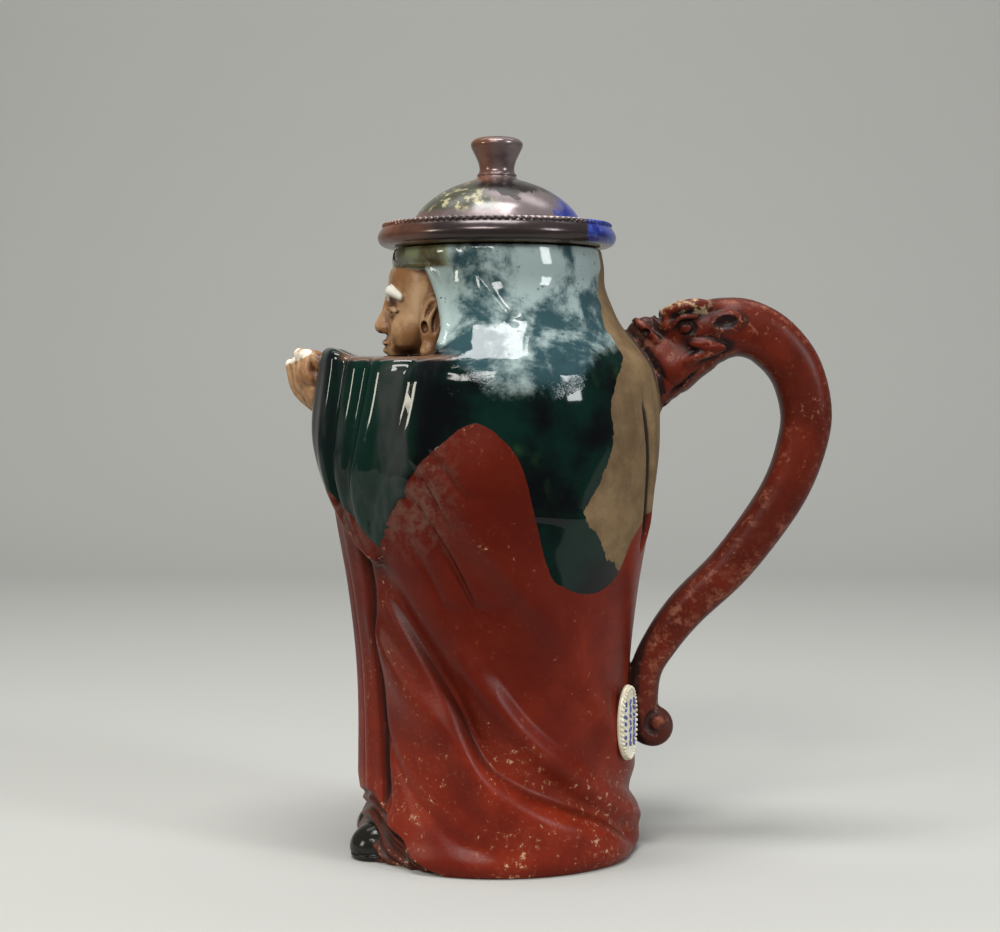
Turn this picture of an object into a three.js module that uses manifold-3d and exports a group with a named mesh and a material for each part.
// Figural lidded jug in stoneware: a robed figure is the vessel, its cupped hands are the spout,
// a dragon bites the shoulder and its body is the handle. The lid is loose.
// Millimetres, +Z up. The origin is the middle of the foot, the figure faces -X, the handle is on +X.
import * as THREE from "three";
import { mergeVertices } from "three/addons/utils/BufferGeometryUtils.js";
import Module from "manifold-3d";

const wasm = await Module();
wasm.setup();

// Driving dimensions
const foot = { radius: 46, edge: 1.2 };
const waist = { radius: 42.6, height: 35 };
const shoulder = { radius: 52.6, height: 134 };
const neck = { radius: 34.8, height: 182 };
const mouth = { radius: 33.5, height: 193.8 };
const wall = { side: 4.5, floor: 7, face: 7, shelf: 2.8 };
const hood = { edge: -16.5, browEdge: -22, collarBottom: 187.2, chinLine: 157, squeeze: 0.12 };
const head = { centre: [-18, 0, 172.5], reach: 17, halfWidth: 18, halfHeight: 19 };
const arm = { top: 159, tip: 96, front: -60.5, thickness: 8 };
const trough = { floor: 146.5, halfWidth: 10, lipHalfWidth: 2.4, back: -29, holeRadius: 4 };
const handle = { top: 169.2, foot: 44, bowOut: 100 };
const girth = { neck: 9, bow: 8.2, run: 6.9, stem: 4.7, curl: 6.5 };
const lidSize = { radius: 39.2, rollHeight: 7.6, domeRadius: 29.5, wall: 3.6, seatGap: 0.4 };
const flange = { depth: 3.4, thickness: 3, clearance: 1 };
const knob = { lipRadius: 8.5, waistRadius: 5.6, top: 230, waistHeight: 219.8 };
const plaqueSize = { width: 13, height: 24, thickness: 1.8, seatGap: 0.3, angle: 65, middle: 43.8 };

const degrees = Math.PI / 180;
const clamp01 = (v) => Math.min(1, Math.max(0, v));
const smooth = (from, to, v) => {
  const t = clamp01((v - from) / (to - from));
  return t * t * (3 - 2 * t);
};
const bell = (v, width) => Math.exp(-((v / width) ** 2));
const mix = (a, b, t) => a + (b - a) * t;

// A smooth line through [at, value] points, level beyond its ends.
function through(points) {
  const last = points.length - 1;
  const slopes = points.map((_, i) => {
    const a = points[Math.max(i - 1, 0)];
    const b = points[Math.min(i + 1, last)];
    return (b[1] - a[1]) / (b[0] - a[0]);
  });
  return (at) => {
    if (at <= points[0][0]) return points[0][1];
    if (at >= points[last][0]) return points[last][1];
    const i = points.findIndex((p) => p[0] > at) - 1;
    const span = points[i + 1][0] - points[i][0];
    const t = (at - points[i][0]) / span;
    const a = points[i][1];
    const b = points[i + 1][1];
    return (
      a * (1 + 2 * t) * (1 - t) ** 2 +
      b * t * t * (3 - 2 * t) +
      span * (slopes[i] * t * (1 - t) ** 2 - slopes[i + 1] * t * t * (1 - t))
    );
  };
}

// The vessel's plain outline: radius against height, from the foot over the shoulder to the mouth.
const toShoulder = (share, full) => [
  mix(waist.height, shoulder.height, share),
  mix(waist.radius, shoulder.radius, full),
];
const toNeck = (share, drawn) => [
  mix(shoulder.height, neck.height, share),
  mix(shoulder.radius, neck.radius, drawn),
];
const outline = through([
  [0, foot.radius - foot.edge],
  [2.5, foot.radius],
  [10, mix(waist.radius, foot.radius, 0.6)],
  [20, mix(waist.radius, foot.radius, 0.15)],
  [waist.height, waist.radius],
  toShoulder(0.25, 0.05),
  toShoulder(0.505, 0.32),
  toShoulder(0.76, 0.74),
  [shoulder.height, shoulder.radius],
  toNeck(0.29, 0.04),
  toNeck(0.46, 0.15),
  toNeck(0.6, 0.42),
  toNeck(0.75, 0.72),
  toNeck(0.875, 0.88),
  [neck.height, neck.radius],
  [mix(neck.height, mouth.height, 0.5), neck.radius - 0.3],
  [mouth.height, mouth.radius],
]);

// Folds of the robe. An angle is in degrees from -Y towards +X: -90 is the figure's front, 90 its back.
// A sweep gives the fold's height at an angle and a hang its angle at a height. A crease's rise is below 0.
const sweeps = [
  {
    line: [[-50, 88], [-38, 76], [-17, 53], [-6, 38], [9, 29], [27, 22.7], [49, 16.4], [74, 5.4]],
    rise: -2.6, above: 9, below: 6.5,
  },
  {
    line: [[-60, 76], [-42, 59.5], [-17, 41.4], [-3, 26], [13.5, 18.7], [33, 12.8], [58, 7]],
    rise: 2, above: 7, below: 9,
  },
  {
    line: [[-12, 108], [-4, 101], [10, 87.6], [27, 72.6], [41.5, 54.7], [66, 35], [90, 27]],
    rise: 1.8, above: 10, below: 8,
  },
  {
    line: [[-15, 66], [-7, 59], [10, 44.4], [33, 30.2], [48, 23], [70, 15], [90, 11.5]],
    rise: 2, above: 8, below: 7,
  },
];
const hangs = [
  { line: [[18, -53], [50, -59], [80, -60], [112, -62]], rise: -2.4, before: 4.5, after: 6 },
  { line: [[20, -69], [60, -72], [118, -74]], rise: 1.6, before: 6, after: 7 },
  { line: [[20, -90], [70, -90], [128, -90]], rise: 2.6, before: 8, after: 8 },
];
for (const fold of [...sweeps, ...hangs]) fold.at = through(fold.line);

function foldHeight(angle, height) {
  let sum = 0;
  const arc = shoulder.radius * degrees;
  for (const f of sweeps) {
    const ends = [f.line[0][0], f.line[f.line.length - 1][0]];
    const fade = smooth(ends[0] - 12, ends[0] + 10, angle) * smooth(ends[1] + 14, ends[1] - 8, angle);
    const off = (height - f.at(angle)) * 0.85;
    sum += f.rise * fade * bell(off, off > 0 ? f.above : f.below);
  }
  for (const f of hangs) {
    const ends = [f.line[0][0], f.line[f.line.length - 1][0]];
    const fade = smooth(ends[0] - 8, ends[0] + 6, height) * smooth(ends[1] + 8, ends[1] - 8, height);
    const off = (angle - f.at(height)) * arc;
    sum += f.rise * fade * bell(off, off > 0 ? f.after : f.before);
  }
  // the bent elbow that pushes the robe out below the sleeve
  sum += 2.6 * bell((angle + 8) * arc, 15) * bell(height - shoulder.height + 14, 17);
  return sum;
}

// The inner hem shows where the outer robe is drawn up at the front.
const hemLine = through([[-90, 19], [-60, 19], [-51, 12.5], [-41, 9.3], [-35, 4.6], [-27, 1.6], [-16, -2]]);

// Outer radius of the robe. The far side repeats the near side's folds.
function robeRadius(angle, height) {
  const near = Math.abs(angle) <= 90 ? angle : Math.sign(angle) * 180 - angle;
  const low = smooth(2, 12, height);
  let r = outline(height) + foldHeight(near, height) * mix(0.5, 1, low) * smooth(176, 150, height);
  const squeezed = smooth(150, 166, height) * smooth(mouth.height - 2, mouth.height - 8, height);
  r *= 1 - hood.squeeze * bell(near + 52, 34) * squeezed;
  const under = near < -10 ? smooth(1.2, -1.2, height - hemLine(near)) : 0;
  r -= 2.6 * under * smooth(-12, -24, near);
  return r;
}

// A closed three.js geometry, its shared vertices merged, as a manifold-3d solid.
function solid(geometry) {
  const bare = geometry.clone();
  bare.deleteAttribute("normal");
  bare.deleteAttribute("uv");
  const merged = mergeVertices(bare, 1e-4);
  return new wasm.Manifold(
    new wasm.Mesh({
      numProp: 3,
      vertProperties: merged.attributes.position.array,
      triVerts: new Uint32Array(merged.index.array),
    }),
  );
}

function geometry(body) {
  const made = body.getMesh();
  const points = new Float32Array(made.numVert * 3);
  for (let i = 0; i < made.numVert; i++) {
    points.set(made.vertProperties.subarray(i * made.numProp, i * made.numProp + 3), i * 3);
  }
  const g = new THREE.BufferGeometry();
  g.setAttribute("position", new THREE.BufferAttribute(points, 3));
  g.setIndex(new THREE.BufferAttribute(made.triVerts, 1));
  g.computeVertexNormals();
  return g;
}

const joined = (parts) => parts.reduce((whole, part) => whole.add(part));

// A closed form on a grid of columns round it and rows along it, its two ends drawn in to a middle point.
// place(turn in radians, share of the length, 0 in the middle or 1 on the surface) gives a point.
function upright(columns, rows, place) {
  const spots = [];
  for (let j = 0; j <= rows; j++) {
    for (let i = 0; i < columns; i++) {
      spots.push(place((i / columns) * 2 * Math.PI - Math.PI, j / rows, 1));
    }
  }
  spots.push(place(0, 0, 0), place(0, 1, 0));
  const bottom = spots.length - 2;
  const top = spots.length - 1;
  // how far the middle of a cell's diagonal lies from the true form
  const miss = (a, b, middle) => Math.hypot(...middle.map((v, k) => v - (spots[a][k] + spots[b][k]) / 2));
  const index = [];
  for (let i = 0; i < columns; i++) {
    const next = (i + 1) % columns;
    index.push(bottom, next, i, top, rows * columns + i, rows * columns + next);
    for (let j = 0; j < rows; j++) {
      const [a, b] = [j * columns + i, j * columns + next];
      const [c, d] = [b + columns, a + columns];
      const middle = place(((i + 0.5) / columns) * 2 * Math.PI - Math.PI, (j + 0.5) / rows, 1);
      if (miss(a, c, middle) < miss(b, d, middle)) {
        index.push(a, b, c, a, c, d);
      } else {
        index.push(a, b, d, b, c, d);
      }
    }
  }
  const g = new THREE.BufferGeometry();
  g.setAttribute("position", new THREE.Float32BufferAttribute(spots.flat(), 3));
  g.setIndex(index);
  return solid(g);
}

// A tapered coil of clay along a smooth line through the points; flat below 1 thins it across its plane.
function tube(points, radius, columns, rows, flat = 1) {
  const curve = new THREE.CatmullRomCurve3(points.map((p) => new THREE.Vector3(...p)));
  const across = new THREE.Vector3(0, 1, 0);
  return upright(columns, rows, (turn, share, out) => {
    const spot = curve.getPointAt(share);
    const along = curve.getTangentAt(share);
    const side = new THREE.Vector3().crossVectors(across, along).normalize();
    const r = radius(share) * out;
    const up = new THREE.Vector3().crossVectors(along, side);
    spot.addScaledVector(side, -Math.cos(turn) * r).addScaledVector(up, -Math.sin(turn) * r * flat);
    return spot.toArray();
  });
}

// An egg-shaped lump of clay: centre, half sizes, then turned about Y and Z in degrees.
function lump(centre, half, tilt = 0, swing = 0, columns = 12, rows = 8) {
  const g = new THREE.SphereGeometry(1, columns, rows);
  g.scale(...half);
  g.rotateY(tilt * degrees);
  g.rotateZ(swing * degrees);
  g.translate(...centre);
  return solid(g);
}

const mirrored = (body) => body.mirror([0, 1, 0]);

// The robe from the foot to the mouth, solid. Its rows crowd together low down, where the folds are.
function robe() {
  return upright(44, 29, (turn, share, out) => {
    const height = mouth.height * (share - 0.09 * Math.sin(share * 2 * Math.PI) * smooth(1, 0.6, share));
    const r = out * robeRadius(turn / degrees, height);
    return [r * Math.sin(turn), -r * Math.cos(turn), height];
  });
}

// The hollow inside follows the outline at the wall's thickness. It is flat behind the hood's opening, goes
// on into the back of the head, and is round again at the very top, where the lid's flange drops in.
function hollow() {
  const top = mouth.height + 5;
  const inside = upright(18, 9, (turn, share, out) => {
    const height = mix(wall.floor, top, share);
    const lift = smooth(wall.floor - 4, wall.floor + 10, height);
    const r = out * (Math.min(outline(height), outline(height - wall.side)) - wall.side - 3 * (1 - lift));
    return [r * Math.sin(turn), -r * Math.cos(turn), height];
  });
  const ledge = hood.collarBottom + wall.shelf;
  const front = trough.floor - wall.side;
  const block = new THREE.BoxGeometry(60, 120, ledge - front);
  block.translate(hood.edge + wall.side - 30, 0, (ledge + front) / 2);
  const [, cy, cz] = head.centre;
  const reachIn = head.centre[0] - head.reach + wall.face;
  const back = hood.edge + wall.side + 2;
  const half = [back - reachIn, head.halfWidth - wall.face, head.halfHeight - wall.face];
  const inHead = lump([back, cy, cz], half, 0, 0, 8, 5);
  return inside.subtract(solid(block)).add(inHead);
}

// What is cut from the neck to make the hood's opening: a side outline run across the neck.
function hoodOpening() {
  const side = new THREE.Shape();
  const low = hood.chinLine + 1;
  const clear = shoulder.radius + 8;
  side.moveTo(-clear, low);
  side.lineTo(hood.edge - 1, low);
  side.quadraticCurveTo(hood.edge + 1, (low + hood.collarBottom) / 2, hood.browEdge, hood.collarBottom - 1);
  side.lineTo(-clear, hood.collarBottom);
  const g = new THREE.ExtrudeGeometry(side, { depth: 2 * clear, bevelEnabled: false, curveSegments: 8 });
  g.rotateX(Math.PI / 2);
  g.translate(0, clear, 0);
  return solid(g);
}

// The head: an egg whose front is pushed out and in by the features of a calm, plain face.
function faceRelief(side, up) {
  const third = (head.halfHeight * 2 - 6) / 3;
  const brow = 6.2;
  const eye = brow - 2.9;
  const noseBase = brow - third;
  const lips = noseBase - third * 0.36;
  const chin = noseBase - third * 0.86;
  const along = clamp01((brow - up) / (brow - noseBase));
  const noseSide = mix(1.6, 2.5, along);
  const noseLength = smooth(brow + 2, brow - 1, up) * smooth(noseBase - 1.4, noseBase + 0.6, up);
  const nose = mix(0.8, 4.6, along ** 1.3) * bell(side, noseSide) * noseLength;
  const socket = -1.5 * bell(side - 6.2, 3.4) * bell(up - eye, 2.3);
  const eyeball = 1.1 * bell(side - 6.3, 2.4) * bell(up - eye + 0.2, 1.4);
  const lipForm = 1.3 * bell(side, 5.5) * bell(up - lips, 3.4);
  const lipLine = -0.8 * bell(side, 4.2) * bell(up - lips, 0.7);
  const browForm = 0.9 * bell(up - brow, 1.8) * bell(side - 5.5, 5);
  const cheek = 0.8 * bell(side - 8.5, 4) * bell(up - noseBase - 1, 4);
  const chinForm = 1.4 * bell(side, 4.5) * bell(up - chin, 2.6);
  const wings = 1.3 * bell(side - 2.7, 1.3) * bell(up - noseBase - 1.1, 1.4);
  return nose + socket + eyeball + lipForm + lipLine + browForm + cheek + chinForm + wings;
}
function headSolid() {
  const [cx, cy, cz] = head.centre;
  return upright(20, 14, (turn, share, out) => {
    // columns crowd together at the face, which is at -90 degrees
    const fromFront = turn + Math.PI / 2;
    const round = fromFront - 0.45 * Math.sin(fromFront);
    const up = mix(-head.halfHeight, head.halfHeight, share);
    const full = (1 - Math.abs(up / head.halfHeight) ** (up > 0 ? 9 : 3.2)) ** 0.5;
    const jaw = mix(1, 0.72, smooth(-2, -17, up));
    const chinLift = 3.5 * smooth(-9, -19, up);
    const [c, n] = [Math.cos(round), Math.sin(round)];
    const x = -head.reach * full * Math.sign(c) * Math.abs(c) ** 0.85;
    const y = -head.halfWidth * full * jaw * Math.sign(n) * Math.abs(n) ** 0.95;
    const front = out * smooth(0.1, 0.65, c) * full;
    return [cx + out * x - front * (faceRelief(Math.abs(y), up) - chinLift), cy + out * y, cz + up];
  });
}
function ear() {
  const [cx, , cz] = head.centre;
  const at = [cx - 1, -head.halfWidth + 0.6, cz - 3.5];
  const shell = lump(at, [4.2, 2.6, 9.6], 0, -8, 8, 6);
  const bowl = lump([at[0] - 0.5, at[1] - 3, at[2] + 1.6], [2.2, 1.7, 5], 0, -8, 6, 4);
  return shell.subtract(bowl);
}

// A sleeve hangs from the forearm to a tip below it, with a bowed section at each height.
const hang = (share) => mix(arm.tip, arm.top, share);
const sleeveFront = through([
  [hang(0), arm.front + 21.5],
  [hang(0.11), arm.front + 15],
  [hang(0.22), arm.front + 10.5],
  [hang(0.35), arm.front + 6.5],
  [hang(0.54), arm.front + 2],
  [hang(1), arm.front + 3],
]);
const sleeveFrontSide = through([
  [hang(0), 31],
  [hang(0.11), 24],
  [hang(0.22), 17],
  [hang(0.35), 13],
  [hang(0.54), 11.5],
  [hang(1), 11.5],
]);
const sleeveBack = through([
  [hang(0), -37],
  [hang(0.11), -34],
  [hang(0.22), -29.5],
  [hang(0.38), -22],
  [hang(0.54), -15],
  [hang(0.73), -10],
  [hang(1), -7],
]);
function sleeve() {
  return upright(14, 10, (turn, share, out) => {
    const height = hang(share);
    const thick = mix(2.5, arm.thickness, smooth(arm.tip, 132, height));
    const shoulderLine = Math.max(outline(height), outline(shoulder.height + 11) - 2) - thick;
    const front = [sleeveFront(height) + thick * 0.6, -sleeveFrontSide(height)];
    const back = [sleeveBack(height), -Math.sqrt(shoulderLine ** 2 - sleeveBack(height) ** 2)];
    const round = Math.sqrt(clamp01((arm.top - height) / 6 + 0.25) * clamp01((height - arm.tip) / 6 + 0.2));
    const span = Math.hypot(front[0] - back[0], front[1] - back[1]) / 2;
    const lie = [(back[0] - front[0]) / (2 * span), (back[1] - front[1]) / (2 * span)];
    const u = Math.sin(turn);
    const v = Math.cos(turn);
    const bow = 6.5 * (1 - u * u) * smooth(arm.tip, 125, height);
    const deep = 1.5 * Math.max(v, 0) * smooth(arm.tip - 8, 120, height);
    const pleat = deep * Math.cos((u - 0.06) * 1.9 * Math.PI);
    const long = out * u * (span + thick * 0.7 * round);
    const flat = out * (v * thick * round * Math.sqrt(1 - 0.6 * u * u) + pleat) + bow;
    const middle = [(front[0] + back[0]) / 2, (front[1] + back[1]) / 2];
    return [middle[0] + long * lie[0] + flat * lie[1], middle[1] + long * lie[1] - flat * lie[0], height];
  });
}

// Cupped hands: four fingers and a thumb, curled up at the tips.
const palm = { x: arm.front + 5.5, z: arm.top - 10.5 };
const atPalm = ([x, y, z]) => [palm.x + x, y, palm.z + z];
const finger = (points, thick, rows) => {
  const taper = (share) => thick * Math.sqrt(clamp01((1 - share) * 4 + 0.25));
  return tube(points.map(atPalm), taper, 5, rows);
};
function hand() {
  const parts = [lump(atPalm([0, -7.2, 0]), [7, 6, 7], 20, 0, 8, 5)];
  for (let i = 0; i < 4; i++) {
    const base = [0.6 * i, -3.2 - 2.4 * i, -7 + 3 * i];
    const bend = [-8.4 + 1.1 * i, -3.4 - 2.6 * i, 1.6 * i];
    const tip = [-12 + 2.2 * i, -2.6 - 2.5 * i, 9.1 + 0.7 * i];
    parts.push(finger([base, bend, tip], 2.5, 4));
  }
  const thumb = [[2, -11, 3.5], [-3, -9.6, 10.1], [-8, -7.4, 11.7]];
  parts.push(finger(thumb, 2.4, 3));
  return joined(parts);
}

// The channel from the chest between the forearms and over the palms, and the hole from it into the vessel.
function spoutCut() {
  const tip = arm.front - 12;
  const channel = new THREE.Shape();
  channel.moveTo(tip, trough.lipHalfWidth);
  channel.lineTo(arm.front + 6, trough.lipHalfWidth + 1.5);
  channel.lineTo(trough.back - 8, trough.halfWidth);
  channel.lineTo(trough.back, trough.halfWidth);
  channel.lineTo(trough.back, -trough.halfWidth);
  channel.lineTo(trough.back - 8, -trough.halfWidth);
  channel.lineTo(arm.front + 6, -trough.lipHalfWidth - 1.5);
  channel.lineTo(tip, -trough.lipHalfWidth);
  const depth = hood.chinLine - trough.floor + 6;
  const open = new THREE.ExtrudeGeometry(channel, { depth, bevelEnabled: false });
  open.translate(0, 0, trough.floor);
  const length = hood.edge + wall.side - trough.back + 6;
  const hole = new THREE.CylinderGeometry(trough.holeRadius, trough.holeRadius, length, 12);
  hole.rotateZ(Math.PI / 2);
  hole.translate(trough.back + length / 2 - 2, 0, trough.floor + trough.holeRadius);
  return { open: solid(open), hole: solid(hole) };
}

// The dragon: its body is the handle, its open jaws grip the shoulder.
// Its route is in shares: out from the foot of the stem to the bow, and up from the foot to the top.
const stem = { x: outline(handle.foot) + girth.stem, z: handle.foot };
const onRoute = ([out, up]) => [mix(stem.x, handle.bowOut, out), 0, mix(handle.foot, handle.top, up)];
const route = [
  [0.468, 0.995], [0.601, 1], [0.774, 0.966], [0.93, 0.891], [1, 0.783], [0.97, 0.687], [0.876, 0.582],
  [0.719, 0.478], [0.521, 0.374], [0.268, 0.27], [0.106, 0.18], [0.019, 0.104], [0.006, 0], [0.03, -0.045],
  [0.095, -0.061],
];
function dragonBody() {
  const thick = through([
    [0, girth.neck],
    [0.15, girth.neck],
    [0.3, girth.bow],
    [0.5, girth.run + 0.2],
    [0.7, girth.run - 0.5],
    [0.84, girth.stem + 0.3],
    [0.94, girth.stem - 0.2],
    [1, girth.stem - 1.5],
  ]);
  const scroll = lump([stem.x + 3.6, 0, stem.z - 4.4], [girth.curl, 4.4, girth.curl], 0, 0, 8, 8);
  const eye = lump([stem.x + 5, -3.9, stem.z - 2], [2.4, 1.6, 2.4], 0, 0, 6, 4);
  return joined([tube(route.map(onRoute), thick, 9, 30, 0.95), scroll, eye, mirrored(eye)]);
}

// Where the jaws grip the shoulder. The head's forms are placed from here.
const bite = { x: outline(handle.top - 9.2), z: handle.top - 9.2 };
const atBite = ([x, y, z]) => [bite.x + x, y, bite.z + z];
const form = (points, thick, columns, rows) => tube(points.map(atBite), through(thick), columns, rows);
function dragonHead() {
  const skull = [[32.7, 0, 8.4], [24.7, 0, 8.8], [16.7, 0, 8.6], [9.7, 0, 9.6], [5.5, 0, 11.8]];
  const snout = [[18.7, 0, 6], [9.7, 0, 3.4], [2.2, 0, 3.6], [-0.8, 0, 7.4], [-0.1, 0, 9.6]];
  const jaw = [[26.7, 0, 5], [17.7, 0, 1.5], [9.7, 0, -4], [4.2, 0, -11.5], [1.2, 0, -19]];
  const brow = [[6.1, -3.6, 12.2], [10.7, -5.4, 14.6], [17.7, -6.6, 15.6], [23.7, -6.4, 14.6]];
  const middle = [
    form(skull, [[0, 8.4], [0.3, 9.4], [0.6, 8.6], [0.85, 5.4], [1, 2.6]], 9, 5),
    form(snout, [[0, 6], [0.4, 5.8], [0.7, 4.8], [1, 2.8]], 8, 5),
    form(jaw, [[0, 5], [0.3, 7.6], [0.6, 8.2], [0.85, 5.4], [1, 2.6]], 8, 5),
    lump(atBite([5.7, 0, -0.5]), [7, 6.5, 7], 0, 0, 8, 6),
  ];
  const ear = lump(atBite([25.7, -8.6, 10.2]), [5.6, 2.4, 3.6], -12, -5, 6, 4);
  const earHollow = lump(atBite([25.7, -11, 10.4]), [3.8, 1.6, 2], -12, -5, 5, 3);
  const sides = [
    form(brow, [[0, 1.4], [0.35, 2.6], [0.8, 2.2], [1, 1.2]], 5, 4),
    lump(atBite([13, -7.3, 9]), [2.7, 2.4, 2.5], 0, 0, 6, 4),
    ear.subtract(earHollow),
    lump(atBite([19.7, -8, 3.2]), [6, 2, 2.1], 6, -5, 5, 4),
    lump(atBite([2.2, -4, 7.2]), [2.4, 1.8, 2], 0, 0, 5, 3),
  ];
  return joined([...middle, ...sides, ...sides.map(mirrored)]);
}

function shoe() {
  return lump([8.5 - foot.radius, -15, 3.5], [9.5, 8.5, 8], 0, 20, 8, 5).intersect(aboveFloor());
}
function aboveFloor() {
  const room = knob.top;
  const g = new THREE.BoxGeometry(room, room, room);
  g.translate(0, 0, room / 2);
  return solid(g);
}

// The long slit where the robe's edges meet behind each shoulder.
function slit() {
  const turned = 64;
  const height = shoulder.height - 11;
  const r = outline(height) + 0.6;
  const middle = [r * Math.sin(turned * degrees), -r * Math.cos(turned * degrees), height];
  return lump(middle, [3.4, 0.9, 19], 0, turned - 90, 6, 8);
}

function jugBody() {
  const trunk = robe().subtract(hoodOpening()).subtract(slit()).subtract(mirrored(slit()));
  const arms = joined([trunk, sleeve(), mirrored(sleeve()), hand(), mirrored(hand())]);
  const spout = spoutCut();
  const pairs = [ear(), mirrored(ear()), shoe(), mirrored(shoe())];
  const figure = joined([arms.subtract(spout.open), headSolid(), ...pairs]);
  const dragon = dragonBody().add(dragonHead());
  return figure.add(dragon).subtract(spout.hole).subtract(hollow());
}

// The lid: a domed shell with a rolled rim, a flange that drops inside the mouth, and a solid flared knob.
function lid() {
  const seat = mouth.height + lidSize.seatGap;
  const rollTop = seat + lidSize.rollHeight;
  const out = lidSize.radius;
  const dome = lidSize.domeRadius;
  const flangeOut = mouth.radius - wall.side - flange.clearance;
  const flangeIn = flangeOut - flange.thickness;
  const domeTop = knob.waistHeight - 3;
  const profile = new THREE.Path();
  profile.moveTo(0, knob.top);
  profile.quadraticCurveTo(knob.lipRadius, knob.top, knob.lipRadius, knob.top - 3);
  const { waistRadius: slim, waistHeight } = knob;
  profile.quadraticCurveTo(slim + 0.6, waistHeight + 2.4, slim, waistHeight);
  profile.quadraticCurveTo(slim + 1, waistHeight - 3, slim + 4, domeTop - 0.4);
  profile.quadraticCurveTo(dome * 0.86, domeTop - 5, dome, rollTop - 0.4);
  profile.quadraticCurveTo(out - 6, rollTop + 0.6, out - 3, rollTop - 0.2);
  profile.quadraticCurveTo(out + 0.9, seat + lidSize.rollHeight * 0.55, out - 2, seat + 0.8);
  profile.lineTo(mouth.radius + 1, seat);
  profile.lineTo(flangeOut, seat);
  profile.lineTo(flangeOut, seat - flange.depth);
  profile.lineTo(flangeIn, seat - flange.depth);
  profile.lineTo(flangeIn, seat + 3);
  const vault = domeTop - lidSize.wall;
  profile.quadraticCurveTo(flangeIn * 0.8, vault - 3, slim, vault);
  profile.lineTo(0, vault);
  const points = profile.getPoints(3).reverse();
  const g = new THREE.LatheGeometry(points, 24);
  g.rotateX(Math.PI / 2);
  return solid(g);
}

// The tablet: an oval that follows the robe's curve.
function plaque() {
  const middle = plaqueSize.angle;
  const r0 = outline(plaqueSize.middle) + 2.2;
  return upright(20, 1, (turn, share, out) => {
    const wide = (out * Math.sin(turn) * plaqueSize.width) / 2;
    const high = (-out * Math.cos(turn) * plaqueSize.height) / 2;
    const angle = middle * degrees + wide / r0;
    const r = r0 + plaqueSize.seatGap + share * plaqueSize.thickness;
    return [r * Math.sin(angle), -r * Math.cos(angle), plaqueSize.middle + high];
  });
}

const finishes = {
  jug_body: new THREE.MeshStandardMaterial({ color: 0x7a2415, roughness: 0.55, metalness: 0 }),
  lid: new THREE.MeshStandardMaterial({ color: 0x4a3a34, roughness: 0.25, metalness: 0.2 }),
  plaque: new THREE.MeshStandardMaterial({ color: 0xd9d4c0, roughness: 0.3, metalness: 0 }),
};

function piece(name, body) {
  const mesh = new THREE.Mesh(geometry(body), finishes[name]);
  mesh.name = name;
  return mesh;
}

const jug = new THREE.Group();
jug.add(piece("jug_body", jugBody()));
jug.add(piece("lid", lid()));
jug.add(piece("plaque", plaque()));

export default jug;
